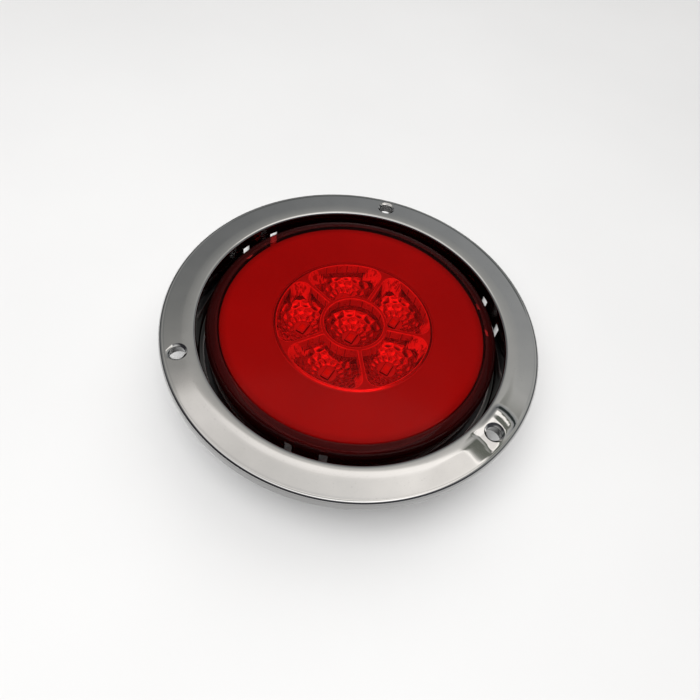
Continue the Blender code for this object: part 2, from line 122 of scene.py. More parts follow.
def add_mesh(name, verts, faces, looks, slots=None, merge=0.0, sharp=SHARP_ANGLE):
    """A mesh object; slots gives each face's place in the list of looks."""
    mesh = bpy.data.meshes.new(name)
    mesh.from_pydata([tuple(v) for v in verts], [], faces)
    if slots:
        mesh.polygons.foreach_set("material_index", slots)
    shape = bmesh.new()
    shape.from_mesh(mesh)
    if merge:
        bmesh.ops.remove_doubles(shape, verts=shape.verts, dist=merge)
        bmesh.ops.dissolve_degenerate(shape, edges=shape.edges, dist=merge)
    bmesh.ops.recalc_face_normals(shape, faces=shape.faces)
    shape.to_mesh(mesh)
    shape.free()
    for look in looks:
        mesh.materials.append(look)
    shade(mesh, sharp)
    return new_object(name, mesh)


def rounded(corners, steps=5, closed=True):
    """Points of an outline through corners (r, z, rounding radius), each corner an arc."""
    points = []
    count = len(corners)
    for index, (r, z, radius) in enumerate(corners):
        here = np.array((r, z))
        ends = not closed and index in (0, count - 1)
        if radius <= 0.0 or ends:
            points.append(here)
            continue
        before = np.array(corners[index - 1][:2]) - here
        after = np.array(corners[(index + 1) % count][:2]) - here
        reach = min(np.linalg.norm(before), np.linalg.norm(after)) * 0.49
        before /= np.linalg.norm(before)
        after /= np.linalg.norm(after)
        half = math.acos(max(-1.0, min(1.0, float(before @ after)))) / 2
        tangent = min(radius / math.tan(half), reach)
        radius = tangent * math.tan(half)
        bisector = (before + after) / np.linalg.norm(before + after)
        centre = here + bisector * radius / math.sin(half)
        first = here + before * tangent - centre
        last = here + after * tangent - centre
        turn = math.atan2(first[0] * last[1] - first[1] * last[0], float(first @ last))
        for step in range(steps + 1):
            angle = turn * step / steps
            c, s = math.cos(angle), math.sin(angle)
            points.append(centre + np.array((c * first[0] - s * first[1],
                                             s * first[0] + c * first[1])))
    return points


def refined(points, longest, closed=True):
    """The same outline with its long straight stretches cut into short ones."""
    result = []
    count = len(points)
    for index in range(count if closed else count - 1):
        first = np.array(points[index])
        second = np.array(points[(index + 1) % count])
        pieces = max(1, math.ceil(np.linalg.norm(second - first) / longest))
        result += [first + (second - first) * step / pieces for step in range(pieces)]
    if not closed:
        result.append(np.array(points[-1]))
    return result


def turns_of(count):
    """Angles evenly round the axis, in radians."""
    return np.arange(count) * 2 * math.pi / count


def circle(radius, count):
    return [(radius * math.cos(t), radius * math.sin(t)) for t in turns_of(count)]


def bands(start, rows, count):
    """Row, place and corners of each face between rows of points that run round an axis."""
    for row in range(rows - 1):
        a = start + row * count
        for k in range(count):
            k2 = (k + 1) % count
            yield row, k, (a + k, a + k2, a + count + k2, a + count + k)


def turned(name, profile, look=None, segments=SEGMENTS, closed=True):
    """A profile in (radius, height) turned about Z; on the axis a point is one vertex."""
    rows = len(profile)
    verts = []
    starts = []
    sizes = []
    for r, z in profile:
        ring = [(0.0, 0.0)] if r < 1e-7 else circle(r, segments)
        starts.append(len(verts))
        sizes.append(len(ring))
        verts += [(x, y, z) for x, y in ring]
    faces = []
    for row in range(rows if closed else rows - 1):
        after = (row + 1) % rows
        if sizes[row] == 1 and sizes[after] == 1:
            continue
        for k in range(segments):
            k2 = (k + 1) % segments
            face = []
            for at, side in ((row, k), (row, k2), (after, k2), (after, k)):
                corner = starts[at] + side % sizes[at]
                if corner not in face:
                    face.append(corner)
            faces.append(face)
    return add_mesh(name, verts, faces, [look] if look else [])


def block(size, centre, turn=0.0, bevel=0.0, steps=3, name="cutter", look=None):
    """A box with rounded edges, turned about its own upright axis by an angle in degrees."""
    shape = bmesh.new()
    bmesh.ops.create_cube(shape, size=1.0)
    bmesh.ops.transform(shape, matrix=Matrix.Diagonal((*size, 1.0)), verts=shape.verts)
    if bevel:
        bmesh.ops.bevel(shape, geom=shape.edges[:], offset=bevel, segments=steps,
                        affect="EDGES", profile=0.5)
    place = Matrix.Translation(Vector(centre)) @ Matrix.Rotation(math.radians(turn), 4, "Z")
    bmesh.ops.transform(shape, matrix=place, verts=shape.verts)
    mesh = bpy.data.meshes.new(name)
    shape.to_mesh(mesh)
    shape.free()
    if look is not None:
        mesh.materials.append(look)
        shade(mesh)
    return new_object(name, mesh)


def apply_modifiers(piece):
    bpy.context.view_layer.update()
    graph = bpy.context.evaluated_depsgraph_get()
    mesh = bpy.data.meshes.new_from_object(piece.evaluated_get(graph))
    piece.modifiers.clear()
    piece.data = mesh


def combine(piece, others, operation):
    """Joins the others to the piece, or cuts them from it, and removes them."""
    for other in others:
        step = piece.modifiers.new(operation, "BOOLEAN")
        step.operation = operation
        step.solver = "EXACT"
        step.object = other
    apply_modifiers(piece)
    for other in others:
        bpy.data.objects.remove(other, do_unlink=True)
    shade(piece.data)


def joined(name, pieces):
    """One object from several, each kept as a body of its own."""
    shape = bmesh.new()
    looks = []
    for piece in pieces:
        for look in piece.data.materials:
            if look not in looks:
                looks.append(look)
    for piece in pieces:
        start = len(shape.faces)
        shape.from_mesh(piece.data)
        shape.faces.ensure_lookup_table()
        places = [looks.index(look) for look in piece.data.materials]
        for face in shape.faces[start:]:
            face.material_index = places[face.material_index] if places else 0
    mesh = bpy.data.meshes.new(name)
    shape.to_mesh(mesh)
    shape.free()
    for look in looks:
        mesh.materials.append(look)
    for piece in pieces:
        bpy.data.objects.remove(piece, do_unlink=True)
    shade(mesh)
    return new_object(name, mesh)


# ---- material helpers ----
class Nodes:
    """Short forms for building a node tree."""

    def __init__(self, tree):
        self.tree = tree
        self.nodes = tree.nodes

    def node(self, kind, **settings):
        made = self.nodes.new(kind)
        for key, value in settings.items():
            setattr(made, key, value)
        return made

    def link(self, source, target):
        self.tree.links.new(source, target)

    def feed(self, socket, value):
        """Gives a socket a number, a colour or another node's output."""
        if isinstance(value, (int, float)):
            socket.default_value = value
        elif isinstance(value, tuple):
            socket.default_value = (*value, 1.0)
        else:
            self.link(value, socket)

    def axes(self, kind):
        """X, Y and Z of a kind of texture coordinate."""
        parts = self.node("ShaderNodeSeparateXYZ")
        self.link(self.node("ShaderNodeTexCoord").outputs[kind], parts.inputs[0])
        return parts.outputs

    def ramp(self, source, stops):
        """Colour by value; each stop is its place, 0 to 1, and a colour or a level of grey."""
        made = self.node("ShaderNodeValToRGB")
        ramp = made.color_ramp
        while len(ramp.elements) < len(stops):
            ramp.elements.new(0.5)
        for element, (position, colour) in zip(ramp.elements, stops):
            element.position = position
            if isinstance(colour, (int, float)):
                colour = (colour, colour, colour)
            element.color = (*colour, 1.0)
        self.link(source, made.inputs["Fac"])
        return made.outputs["Color"]

    def math(self, operation, first, second=0.0):
        made = self.node("ShaderNodeMath", operation=operation)
        for socket, value in zip(made.inputs, (first, second)):
            self.feed(socket, value)
        return made.outputs[0]

    def map_range(self, source, start, end, to_start=0.0, to_end=1.0):
        made = self.node("ShaderNodeMapRange")
        names = ("Value", "From Min", "From Max", "To Min", "To Max")
        for name, value in zip(names, (source, start, end, to_start, to_end)):
            self.feed(made.inputs[name], value)
        return made.outputs[0]

    def mix(self, share, first, second, kind="MIX"):
        """Mix of two colours, whose sockets are the node's seventh and eighth."""
        made = self.node("ShaderNodeMix", data_type="RGBA", blend_type=kind)
        for place, value in ((0, share), (6, first), (7, second)):
            self.feed(made.inputs[place], value)
        return made.outputs[2]

    def mix_shaders(self, share, first, second):
        made = self.node("ShaderNodeMixShader")
        for socket, value in zip(made.inputs, (share, first, second)):
            self.feed(socket, value)
        return made.outputs[0]


class Look(Nodes):
    """A node material.  Scales of noise are in cells per metre."""

    def __init__(self, name):
        self.material = bpy.data.materials.new(name)
        self.material.use_nodes = True
        super().__init__(self.material.node_tree)
        self.shader = self.nodes["Principled BSDF"]

    def noise(self, scale, detail=3.0, roughness=0.5, stretch=None):
        texture = self.node("ShaderNodeTexNoise")
        for name, value in (("Scale", scale), ("Detail", detail), ("Roughness", roughness)):
            texture.inputs[name].default_value = value
        vector = self.node("ShaderNodeTexCoord").outputs["Object"]
        if stretch:
            mapping = self.node("ShaderNodeMapping")
            mapping.inputs["Scale"].default_value = stretch
            self.link(vector, mapping.inputs["Vector"])
            vector = mapping.outputs["Vector"]
        self.link(vector, texture.inputs["Vector"])
        return texture.outputs["Fac"]

    def by_radius(self, stops):
        """Ramp by the distance from the lamp's axis; the stops' places are in mm, up to 100."""
        x, y, _ = self.axes("Object")
        squares = self.math("ADD", self.math("MULTIPLY", x, x), self.math("MULTIPLY", y, y))
        radius = self.math("MULTIPLY", self.math("SQRT", squares), 1 / MM)
        share = self.math("MULTIPLY", radius, 0.01)
        return self.ramp(share, [(place / 100, tone) for place, tone in stops])

    def bump(self, height, strength, distance, under=None):
        made = self.node("ShaderNodeBump")
        for name, value in (("Strength", strength), ("Distance", distance), ("Height", height)):
            self.feed(made.inputs[name], value)
        if under is not None:
            self.link(under, made.inputs["Normal"])
        return made.outputs["Normal"]

    def finish(self, **values):
        """Gives the shader's sockets their values, and hands over the material."""
        for name, value in values.items():
            self.feed(self.shader.inputs[name.replace("_", " ")], value)
        return self.material


# ---- materials ----
# painted shade in the recess round the lamp, by depth below the face; a stop of 1 is 20 mm
RECESS_SHARE = 1 / (20.0 * MM)
RECESS_PAINTED_SHADE = [(0.12, 1.0), (0.30, 0.22), (0.62, 0.10)]
RED_BODY = [(0.3, (0.085, 0.006, 0.006)), (0.7, (0.11, 0.010, 0.010))]
# painted shade: the wall's milky body darkens outwards, by distance from the axis in mm
RED_BODY_PAINTED_SHADE = [(50.4, 1.0), (51.2, 0.70), (52.8, 0.55), (53.6, 0.20)]


def chrome():
    """Bright plating: a mirror with a faint haze, fine specks and a hardly visible waviness.

    Painted shade darkens the recess round the lamp, but for a painted highlight on the ledge's inner
    edge, and painted shade makes the flange's side darker than its face.
    """
    look = Look("chrome_plate")
    tone = look.ramp(look.noise(90.0, 4.0), [(0.3, (0.72, 0.72, 0.715)), (0.7, (0.77, 0.768, 0.76))])
    specks = look.ramp(look.noise(2600.0, 2.0), [(0.24, 0.55), (0.30, 1.0)])
    tone = look.mix(1.0, tone, specks, "MULTIPLY")
    outside = look.by_radius([(57.4, 0.0), (58.0, 1.0)])
    # painted highlight: a light, mostly matt strip on the ledge's inner edge
    ledge_painted_highlight = look.by_radius([(55.75, 1.0), (55.85, 0.0)])
    # painted shade: the flange's side is darkened
    side = look.by_radius([(69.78, 1.0), (69.86, 0.38)])
    # painted shade: the plating in the recess darkens with depth below the face
    depth = look.math("SUBTRACT", FACE_Z, look.axes("Object")["Z"])
    recess = look.ramp(look.math("MULTIPLY", depth, RECESS_SHARE), RECESS_PAINTED_SHADE)
    recess = look.mix(ledge_painted_highlight, recess, (0.9, 0.9, 0.9))
    painted_shade_and_highlight = look.mix(1.0, look.mix(outside, recess, (1.0, 1.0, 1.0)), side, "MULTIPLY")
    return look.finish(
        Base_Color=look.mix(1.0, tone, painted_shade_and_highlight, "MULTIPLY"),
        Metallic=look.math("SUBTRACT", 1.0, look.math("MULTIPLY", ledge_painted_highlight, 0.8)),
        Roughness=look.ramp(look.noise(45.0, 5.0, 0.6), [(0.3, 0.035), (0.75, 0.085)]),
        Normal=look.bump(look.noise(60.0, 1.0), 0.12, 0.4 * MM),
    )


def red_plastic(name, dark, light, index, body=0.0):
    """Clear red plastic: it tints what is behind it, shines a little, and may have some body, which
    painted shade darkens outwards.
    """
    look = Look(name)
    look.nodes.remove(look.shader)
    clear = look.node("ShaderNodeBsdfTransparent")
    look.link(look.ramp(look.noise(25.0, 2.0), [(0.3, dark), (0.7, light)]), clear.inputs["Color"])
    inside = clear.outputs[0]
    if body:
        milky = look.node("ShaderNodeBsdfDiffuse")
        tone = look.ramp(look.noise(40.0), RED_BODY)
        # painted shade towards the flange's sleeve
        look.link(look.mix(1.0, tone, look.by_radius(RED_BODY_PAINTED_SHADE), "MULTIPLY"), milky.inputs["Color"])
        inside = look.mix_shaders(body, inside, milky.outputs[0])
    shine = look.node("ShaderNodeBsdfGlossy")
    rough = look.ramp(look.noise(160.0, 4.0), [(0.3, 0.03), (0.8, 0.07)])
    look.link(rough, shine.inputs["Roughness"])
    fresnel = look.node("ShaderNodeFresnel")
    fresnel.inputs["IOR"].default_value = index
    surface = look.mix_shaders(fresnel.outputs[0], inside, shine.outputs[0])
    look.link(surface, look.nodes["Material Output"].inputs["Surface"])
    return look.material


def opal():
    """Milky plastic with a fine matt skin, and painted shade that darkens it towards the rim."""
    look = Look("opal_diffuser")
    tone = look.ramp(look.noise(35.0), [(0.3, (0.225, 0.185, 0.175)), (0.7, (0.245, 0.205, 0.195))])
    return look.finish(
        # painted shade towards the rim
        Base_Color=look.mix(1.0, tone, look.by_radius([(46.6, 1.0), (49.0, 0.66)]), "MULTIPLY"),
        Roughness=look.ramp(look.noise(300.0), [(0.3, 0.45), (0.7, 0.6)]),
        Normal=look.bump(look.noise(1800.0, 2.0), 0.08, 0.2 * MM),
    )


def coating(name, tone, rough, grain, metallic):
    """Metallised plastic; tone, rough and grain start with a noise's scale and detail."""
    look = Look(name)
    return look.finish(
        Base_Color=look.ramp(look.noise(*tone[0]), tone[1:]),
        Roughness=look.ramp(look.noise(*rough[0]), rough[1:]),
        Normal=look.bump(look.noise(*grain[0]), *grain[1:]),
        Metallic=metallic,
    )


def streaked():
    """Painted reflection in the cups' corners: a light, nearly matt coating with upright streaks."""
    look = Look("metallised_streaks_painted_reflection")
    streaks = look.noise(900.0, 2.0, 0.7, stretch=(1.0, 1.0, 0.02))
    return look.finish(
        Base_Color=look.ramp(streaks, [(0.38, 0.40), (0.47, 0.85), (0.55, 1.0)]),
        Roughness=look.ramp(streaks, [(0.3, 0.35), (0.7, 0.2)]),
        Normal=look.bump(streaks, 0.1, 0.1 * MM),
        Metallic=0.08,
    )


def plastic(name, dark, light, rough=(0.35, 0.55), grain=1400.0, depth=0.25):
    """Moulded plastic with a fine grain and faint flow marks."""
    look = Look(name)
    flow = look.bump(look.noise(60.0, 2.0), 0.15, 0.4 * MM)
    return look.finish(
        Base_Color=look.ramp(look.noise(70.0, 5.0, 0.6), [(0.3, dark), (0.7, light)]),
        Roughness=look.ramp(look.noise(240.0, 4.0), [(0.3, rough[0]), (0.7, rough[1])]),
        Normal=look.bump(look.noise(grain), depth, 0.1 * MM, flow),
    )


def metal(name, dark, light, rough=(0.2, 0.4), stretch=(1.0, 1.0, 8.0)):
    """Metal with fine scratches that run round it."""
    look = Look(name)
    scratches = look.noise(900.0, 3.0, 0.6, stretch)
    return look.finish(
        Base_Color=look.ramp(look.noise(500.0, 4.0, 0.6, stretch), [(0.3, dark), (0.7, light)]),
        Roughness=look.ramp(scratches, [(0.3, rough[0]), (0.7, rough[1])]),
        Normal=look.bump(scratches, 0.1, 0.1 * MM),
        Metallic=1.0,
    )


CHROME = chrome()
RED = red_plastic("red_lens", (0.955, 0.250, 0.240), (0.975, 0.270, 0.260), 1.17)
RED_WALL = red_plastic("red_lens_wall", (0.70, 0.13, 0.13), (0.77, 0.16, 0.16), 1.20, 0.26)
OPAL = opal()
# mirror coating in the cups, over moulding marks and a faint orange peel
MIRROR = coating(
    "metallised_plastic",
    tone=((400.0, 3.0), (0.3, 0.70), (0.7, (0.82, 0.82, 0.83))),
    rough=((220.0, 4.0), (0.3, 0.07), (0.8, 0.15)),
    grain=((500.0, 1.0), 0.04, 0.2 * MM),
    metallic=0.9,
)
# the same coating on the flat plate, where the fine texture of the mould makes it matt
SATIN = coating(
    "metallised_satin",
    tone=((300.0, 3.0), (0.3, 0.41), (0.7, 0.47)),
    rough=((500.0, 3.0), (0.3, 0.38), (0.8, 0.5)),
    grain=((2200.0, 2.0), 0.15, 0.1 * MM),
    metallic=0.6,
)
# painted reflection in the smooth hollows of the petals' corners
STREAKS_PAINTED_REFLECTION = streaked()
# painted highlight: a light, partly matt coating on the edge round each cup and on its raised panels
RIM_PAINTED_HIGHLIGHT = coating(
    "metallised_rim_painted_highlight",
    tone=((250.0, 3.0), (0.35, 0.74), (0.6, 0.84)),
    rough=((900.0, 2.0), (0.3, 0.25), (0.7, 0.4)),
    grain=((1500.0, 2.0), 0.03, 0.1 * MM),
    metallic=0.3,
)
BLACK = plastic("black_plastic", (0.010, 0.010, 0.011), (0.022, 0.022, 0.024))
RUBBER = plastic("seal_rubber", 0.008, 0.018, (0.6, 0.8), 900.0, 0.4)
MASK = plastic("board_mask", (0.36, 0.36, 0.35), (0.42, 0.42, 0.41), (0.3, 0.45), 1100.0, 0.1)
PACKAGE = plastic("led_package", (0.35, 0.34, 0.32), (0.40, 0.39, 0.37), (0.35, 0.5), 2000.0, 0.1)
PALE = plastic("led_wall", (0.82, 0.81, 0.79), (0.90, 0.89, 0.87), (0.4, 0.6), 2000.0, 0.1)
PHOSPHOR = plastic("led_phosphor", (0.44, 0.20, 0.04), (0.50, 0.24, 0.06), (0.2, 0.35), 2600.0, 0.2)
EPOXY = plastic("component_epoxy", (0.018, 0.018, 0.019), (0.035, 0.034, 0.034),
                (0.45, 0.6), 2200.0, 0.3)
CAN = metal("capacitor_can", (0.62, 0.62, 0.64), (0.76, 0.76, 0.78))
TIN = metal("tinned_brass", (0.70, 0.62, 0.42), (0.80, 0.72, 0.52))
STEEL = metal("screw_steel", (0.52, 0.52, 0.54), (0.68, 0.68, 0.70))
# painted shade for the walls inside the screw holes
BORE_PAINTED_SHADE = metal("chrome_bore_painted_shade", 0.17, 0.23, (0.10, 0.20))


# ---- chrome flange ----
# the tilted pad of the last hole: place along the ring from the hole's middle, and height
PAD_PROFILE = [(place * MM, height * MM) for place, height in (
    (-13.0, 0.0), (-6.0, -0.075), (-5.7, -0.15), (4.6, 0.314), (5.5, 0.305), (8.2, 0.435),
    (10.4, -0.04), (20.0, 0.0),
)]
SKIRT_WALL = 1.7 * MM
FACE_PLATE = 1.9 * MM                # thickness of the face
DOME_R = 62.0 * MM                   # highest part of the face
DOME_RISE = 0.28 * MM
FACE_EDGE_R = 68.4 * MM              # where the face turns into the round outer edge
FACE_LEAN = 0.0125 / MM              # how fast the face falls from its highest part inwards
MOUTH_ROUND = 0.9 * MM               # rounding between the face and the sleeve
FACE_MARGIN = 1.2 * MM               # strip by the opening that the pads leave alone
BOSS_TURN = 1.7                      # turn of the facets round a screw hole, degrees
BORE_SHADE_DEPTH = 0.3 * MM             # how far down a screw hole the bright plating goes before the painted shade


def smooth_step(value, start, end):
    share = np.clip((value - start) / (end - start), 0.0, 1.0)
    return share * share * (3.0 - 2.0 * share)


def pad_height(x, y):
    """How far the face is drawn up or down near the screw holes.

    The pad of the last hole is tilted: it starts at a crease and ends in a short drop.
    """
    total = np.zeros_like(x)
    for angle in HOLE_ANGLES:
        centre = polar(HOLE_PITCH_R, angle)
        out = polar(1.0, angle)
        u = (x - centre.x) * out.x + (y - centre.y) * out.y
        v = -(x - centre.x) * out.y + (y - centre.y) * out.x
        if angle == HOLE_ANGLES[-1]:
            across = smooth_step(u, -6.2 * MM, -4.6 * MM)
            across = across * (1.0 - smooth_step(u, 2.8 * MM, 4.4 * MM))
            along = v + 0.22 * u + 0.05 * u * u / MM
            places, heights = zip(*PAD_PROFILE)
            total += np.interp(along, places, heights) * across
        else:
            near = np.exp(-((u / (4.0 * MM)) ** 2 + (v / (6.0 * MM)) ** 4))
            total -= 0.035 * MM * near
    return total


def flange_profile():
    """Outline of the flange's section, from the sleeve's lower end over the face to the skirt."""
    top = FACE_Z + DOME_RISE
    corners = [
        (OPENING_R, SLEEVE_Z, 0.3 * MM),
        (OPENING_R, LEDGE_Z - LEDGE_THICK, 0.3 * MM),
        (LEDGE_R, LEDGE_Z - LEDGE_THICK, 0.25 * MM),
        (LEDGE_R, LEDGE_Z, 0.25 * MM),
        (OPENING_R, LEDGE_Z, 0.3 * MM),
        (OPENING_R, top - 0.15 * MM, MOUTH_ROUND),
    ]
    face = rounded(corners, closed=False)[:-1]
    # the inner part leans in towards the opening, then a small radius turns into the sleeve
    fall = DOME_R - (OPENING_R + MOUTH_ROUND)
    turn_to = math.pi / 2 + math.atan(2 * FACE_LEAN * fall)
    centre = np.array((OPENING_R + MOUTH_ROUND / math.sin(math.pi - turn_to),
                       top - FACE_LEAN * fall ** 2 - MOUTH_ROUND))
    for step in range(7):
        turn = math.pi + (turn_to - math.pi) * step / 6
        face.append(centre + MOUTH_ROUND * np.array((math.cos(turn), math.sin(turn))))
    start = face[-1][0]
    for step in range(1, 9):
        r = start + (DOME_R - start) * step / 8
        face.append(np.array((r, top - FACE_LEAN * (DOME_R - r) ** 2)))
    outer = rounded(
        [
            (DOME_R, top, 0.0),
            (FACE_EDGE_R - 0.5 * MM, FACE_Z + 0.03 * MM, 1.0 * MM),
            (FACE_EDGE_R, FACE_Z - 0.03 * MM, 0.2 * MM),
            (FACE_EDGE_R + 0.2 * MM, FACE_Z, 0.0),
        ],
        closed=False,
    )[1:]
    round_over = FLANGE_R - FACE_EDGE_R - 0.2 * MM
    for step in range(1, 13):
        turn = math.pi / 2 * step / 12
        outer.append(np.array((FLANGE_R - round_over * (1 - math.sin(turn)),
                               FACE_Z - round_over * (1 - math.cos(turn)))))
    outer += rounded(
        [
            (FLANGE_R, FACE_Z - round_over, 0.0),
            (FLANGE_R, SKIRT_Z, 0.25 * MM),
            (FLANGE_R - SKIRT_WALL, SKIRT_Z, 0.25 * MM),
            (FLANGE_R - SKIRT_WALL, FACE_Z - FACE_PLATE, 0.6 * MM),
            (SLEEVE_R, FACE_Z - FACE_PLATE, 0.6 * MM),
            (SLEEVE_R, SLEEVE_Z, 0.3 * MM),
            (OPENING_R, SLEEVE_Z, 0.3 * MM),
        ],
        steps=6,
        closed=False,
    )[1:-1]
    return refined(face + outer, 0.9 * MM)


def raise_pads(mesh):
    """Draws the face up or down near the screw holes, less and less towards its edges."""
    coords = np.zeros(len(mesh.vertices) * 3)
    mesh.vertices.foreach_get("co", coords)
    coords = coords.reshape(-1, 3)
    x, y, z = coords.T
    radii = np.hypot(x, y)
    inner = OPENING_R + FACE_MARGIN
    on_face = (z > FACE_Z - 0.4 * MM) & (radii < FACE_EDGE_R) & (radii > inner)
    blend = np.clip((radii - inner) / (1.5 * MM), 0, 1)
    blend = blend * np.clip((FACE_EDGE_R - radii) / (1.0 * MM), 0, 1)
    coords[:, 2] += np.where(on_face, pad_height(x, y) * blend, 0.0)
    mesh.vertices.foreach_set("co", coords.ravel())


def make_flange():
    """Face, skirt, sleeve and ledge in one, with screw bosses and the snap fingers' slots."""
    shell = turned("flange_shell", flange_profile(), CHROME, segments=600)
    raise_pads(shell.data)
    plate_z = FACE_Z - FACE_PLATE
    boss_low = SKIRT_Z + 0.02 * MM
    boss_high = plate_z + 0.3 * MM
    above = FACE_Z + 2 * MM
    below = SKIRT_Z - 2 * MM
    hole = rounded(
        [
            (0.0, above, 0.0),
            (HOLE_R + 2.5 * MM, above, 0.0),
            (HOLE_R + 0.85 * MM, FACE_Z + 0.10 * MM, 0.0),
            (HOLE_R, FACE_Z - 0.45 * MM, 0.2 * MM),
            (HOLE_R, plate_z, 0.15 * MM),
            (WELL_R, plate_z - 0.3 * MM, 0.1 * MM),
            (WELL_R, below, 0.0),
            (0.0, below, 0.0),
        ],
        closed=False,
    )
    bosses, cutters = [], []
    for angle in HOLE_ANGLES:
        at = Matrix.Translation(polar(HOLE_PITCH_R, angle))
        at = at @ Matrix.Rotation(math.radians(BOSS_TURN), 4, "Z")
        outline = [(BOSS_R, boss_high), (BOSS_R, boss_low), (0.0, boss_low), (0.0, boss_high)]
        bosses.append(turned("boss", outline, segments=FINE_SEGMENTS))
        cutters.append(turned("bore", hole, segments=FINE_SEGMENTS, closed=False))
        for piece in (bosses[-1], cutters[-1]):
            piece.data.transform(at)
    combine(shell, bosses, "UNION")
    slot_height = SLOT_TOP_Z - SLEEVE_Z + 2 * MM
    for finger in FINGER_ANGLES:
        for angle in (finger - SLOT_OFFSET, finger + SLOT_OFFSET):
            centre = polar((LEDGE_R + SLEEVE_R) / 2, angle, SLOT_TOP_Z - slot_height / 2)
            cutters.append(block((8 * MM, SLOT_WIDTH, slot_height), centre, angle))
    combine(shell, cutters, "DIFFERENCE")
    # painted shade: the plating down in the screw holes is darkened
    shell.data.materials.append(BORE_PAINTED_SHADE)
    for angle in HOLE_ANGLES:
        axis = polar(HOLE_PITCH_R, angle)
        for polygon in shell.data.polygons:
            away = math.hypot(polygon.center.x - axis.x, polygon.center.y - axis.y)
            if away < WELL_R and polygon.center.z < FACE_Z - BORE_SHADE_DEPTH:
                polygon.material_index = len(shell.data.materials) - 1
    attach(shell, "flange")
    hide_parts("chrome_flange", "flange_sleeve")


# ---- lens and glow ring ----
def lens_z(r):
    """Height of the lens's slightly domed face."""
    return LENS_TOP - 0.4 * MM * (r / (50 * MM)) ** 2


LENS_FACE_R = 49.8 * MM              # past this the lens is its shoulder and wall


def make_lens():
    """Face with a shallow groove near its rim, a stepped shoulder and the wall below it."""
    plate = 0.9 * MM
    wall = 1.9 * MM
    profile = []
    for step in range(17):
        r = 48 * MM * step / 16
        profile.append(np.array((r, lens_z(r))))
    profile += rounded(
        [
            (49.0 * MM, lens_z(49 * MM), 0.0),
            (49.5 * MM, lens_z(49.5 * MM), 0.2 * MM),
            (49.9 * MM, lens_z(49.9 * MM) - 0.35 * MM, 0.15 * MM),
            (50.5 * MM, lens_z(50.5 * MM) - 0.35 * MM, 0.15 * MM),
            (50.8 * MM, lens_z(50.8 * MM) - 0.15 * MM, 0.15 * MM),
            (52.6 * MM, FACE_Z - 1.0 * MM, 0.4 * MM),
            (52.9 * MM, FACE_Z - 1.5 * MM, 0.15 * MM),
            (53.5 * MM, FACE_Z - 1.6 * MM, 0.3 * MM),
            (LENS_R, FACE_Z - 2.6 * MM, 0.4 * MM),
            (LENS_R, FACE_Z - 7.0 * MM, 0.0),
            (LENS_R, LENS_BOTTOM, 0.15 * MM),
            (LENS_R - wall, LENS_BOTTOM, 0.15 * MM),
            (LENS_R - wall, FACE_Z - 2.9 * MM - plate, 0.5 * MM),
            (50.0 * MM, lens_z(50 * MM) - plate, 1.0 * MM),
            (46.0 * MM, lens_z(46 * MM) - plate, 0.0),
        ],
        steps=4,
        closed=False,
    )
    for step in range(7, -1, -1):
        r = 46.0 * MM * step / 8
        profile.append(np.array((r, lens_z(r) - plate)))
    lens = turned("lens_moulding", refined(profile, 2.5 * MM, closed=False), RED, closed=False)
    lens.data.materials.append(RED_WALL)
    for face in lens.data.polygons:
        if math.hypot(face.center.x, face.center.y) > LENS_FACE_R:
            face.material_index = 1
    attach(lens, "lamp")
    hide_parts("lens")


def make_ring():
    """Diffuser: a flat ring with a short wall under it."""
    wall_out = 47.5 * MM
    wall_in = 46.1 * MM
    under = RING_TOP - 1.6 * MM
    profile = rounded(
        [
            (RING_HOLE_R, RING_TOP, 0.1 * MM),
            (RING_R, RING_TOP, 0.5 * MM),
            (RING_R, under, 0.2 * MM),
            (wall_out, under, 0.3 * MM),
            (wall_out, RING_BOTTOM, 0.15 * MM),
            (wall_in, RING_BOTTOM, 0.15 * MM),
            (wall_in, under, 0.3 * MM),
            (RING_HOLE_R, under, 0.2 * MM),
        ],
        steps=4,
    )
    ring = turned("glow_ring", refined(profile, 3.0 * MM), OPAL)
    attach(ring, "lamp")
    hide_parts("glow_ring_diffuser")


# ---- reflector ----
PETAL_INNER_R = 12.6 * MM
PETAL_OUTER_R = 28.6 * MM
PETAL_HALF_GAP = 0.75 * MM
PETAL_CORNER = 4.2 * MM
CUP_MOUTH_R = 11.2 * MM
FOOT_R = 3.5 * MM
LIP = 0.32 * MM                      # rounding of a cup's edge
BEVEL_WIDTH = 0.9 * MM               # sloping edge all round the plate
BEVEL_DROP = 0.42 * MM
CUP_TURNS = 180                      # directions round a cup
CUP_STEP = 0.28 * MM                 # between rows of points up a bowl
RIM_SIDES = 240                      # sides of the plate's outer edge
LED_TURN = 73.0                      # direction of the packages' long side, degrees
BOWL_MOUTH_R = 19.0 * MM             # where a bowl would reach the plate, were it not cut off
PILLOW_RISE = 0.28 * MM              # how far the lowest row of pillows stands out
PILLOW_GROWTH = 0.20 * MM
PANEL_START = 0.42                   # share of the wall above the bowl where its panels start
PANEL_RISE = 0.2 * MM
PANEL_SHARE = 0.84                   # share of the wall's width that the panels take
FACETS = 15                          # pillows in each row round a cup
ROWS = 6
REFLECTOR_LOOKS = [MIRROR, SATIN, STREAKS_PAINTED_REFLECTION, RIM_PAINTED_HIGHLIGHT]
SCOOP_SLOPE = 2.35                   # rise of the smooth hollow in a petal's outer corner


